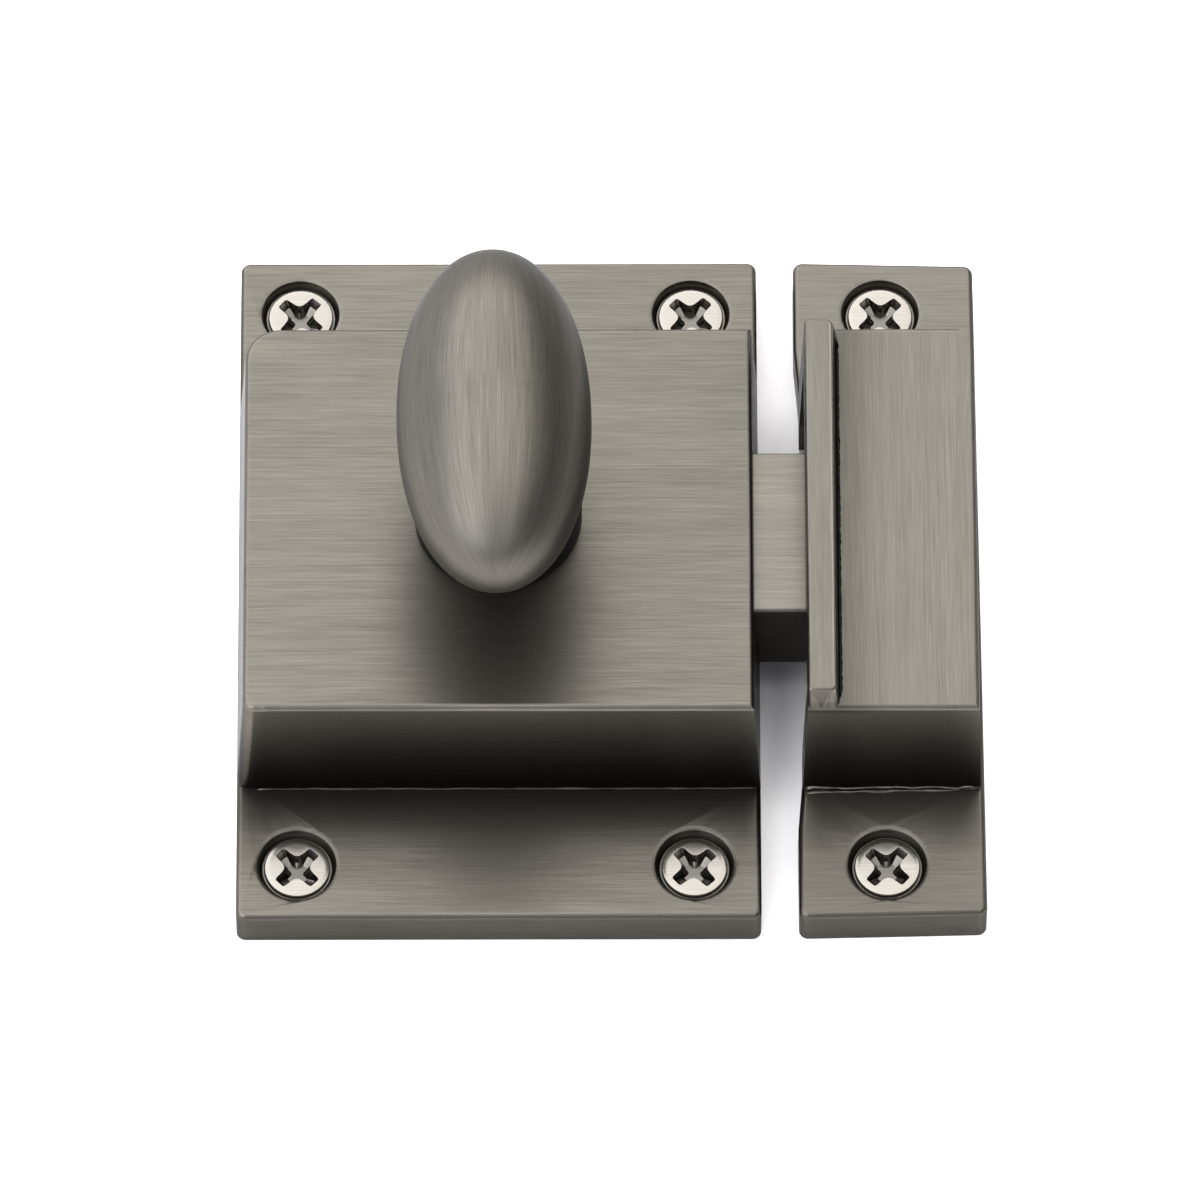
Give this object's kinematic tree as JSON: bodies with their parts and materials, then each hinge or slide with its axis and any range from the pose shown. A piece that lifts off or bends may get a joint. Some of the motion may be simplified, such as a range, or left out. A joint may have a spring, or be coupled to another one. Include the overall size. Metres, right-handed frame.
{
  "type": "cupboard catch latch",
  "caption": "Cast cupboard catch latch: an oval knob turns a crank that draws a spring bolt into its case, beside a hollow keeper with a raised lip.",
  "frame": {"origin": "on the axis of the knob, in the plane of the flat backs", "axes": "+X from the latch to the keeper, +Y along the long sides of the plates, +Z out of the mounting face"},
  "size_m": [0.0635, 0.0644, 0.0528],
  "materials": {
    "case_metal": "brushed dark pewter plating",
    "knob_metal": "brushed dark pewter plating, polished by hands",
    "bolt_metal": "brushed pewter plating",
    "screw_nickel": "bright nickel plating",
    "plated_sheet": "zinc plated",
    "inner_steel": "plain turned steel, lightly oiled",
    "spring_wire": "drawn spring wire"
  },
  "bodies": {
    "root": {"latch_case": "case_metal", "back_plate": "plated_sheet", "bolt_spring": "spring_wire", "keeper": "case_metal", "back_plate_screw_1": "screw_nickel", "back_plate_screw_2": "screw_nickel", "back_plate_screw_3": "screw_nickel", "back_plate_screw_4": "screw_nickel", "latch_screw_1": "screw_nickel", "latch_screw_2": "screw_nickel", "latch_screw_3": "screw_nickel", "latch_screw_4": "screw_nickel", "keeper_screw_1": "screw_nickel", "keeper_screw_2": "screw_nickel"},
    "turning": {"knob": "knob_metal", "spindle": "inner_steel", "crank": "inner_steel", "crank_pin": "inner_steel", "crank_screw": "inner_steel", "crank_washer": "plated_sheet"},
    "sliding": {"bolt": "bolt_metal"}
  },
  "joints": [
    {"name": "knob_turn", "type": "hinge", "parent": "root", "child": "turning", "pos_m": [0, 0, 0.0157], "axis": [0, 0, -1], "range_deg": [0, 90]},
    {"name": "bolt_slide", "type": "slide", "parent": "root", "child": "sliding", "axis": [-1, 0, 0], "range_m": [0, 0.009], "stiffness_N_per_m": 1079, "springref_m": -0.005, "deforming": ["bolt_spring"]}
  ],
  "couplings": [
    {"joint": "knob_turn", "follows": "bolt_slide", "rad_per_m": 174.53}
  ]
}
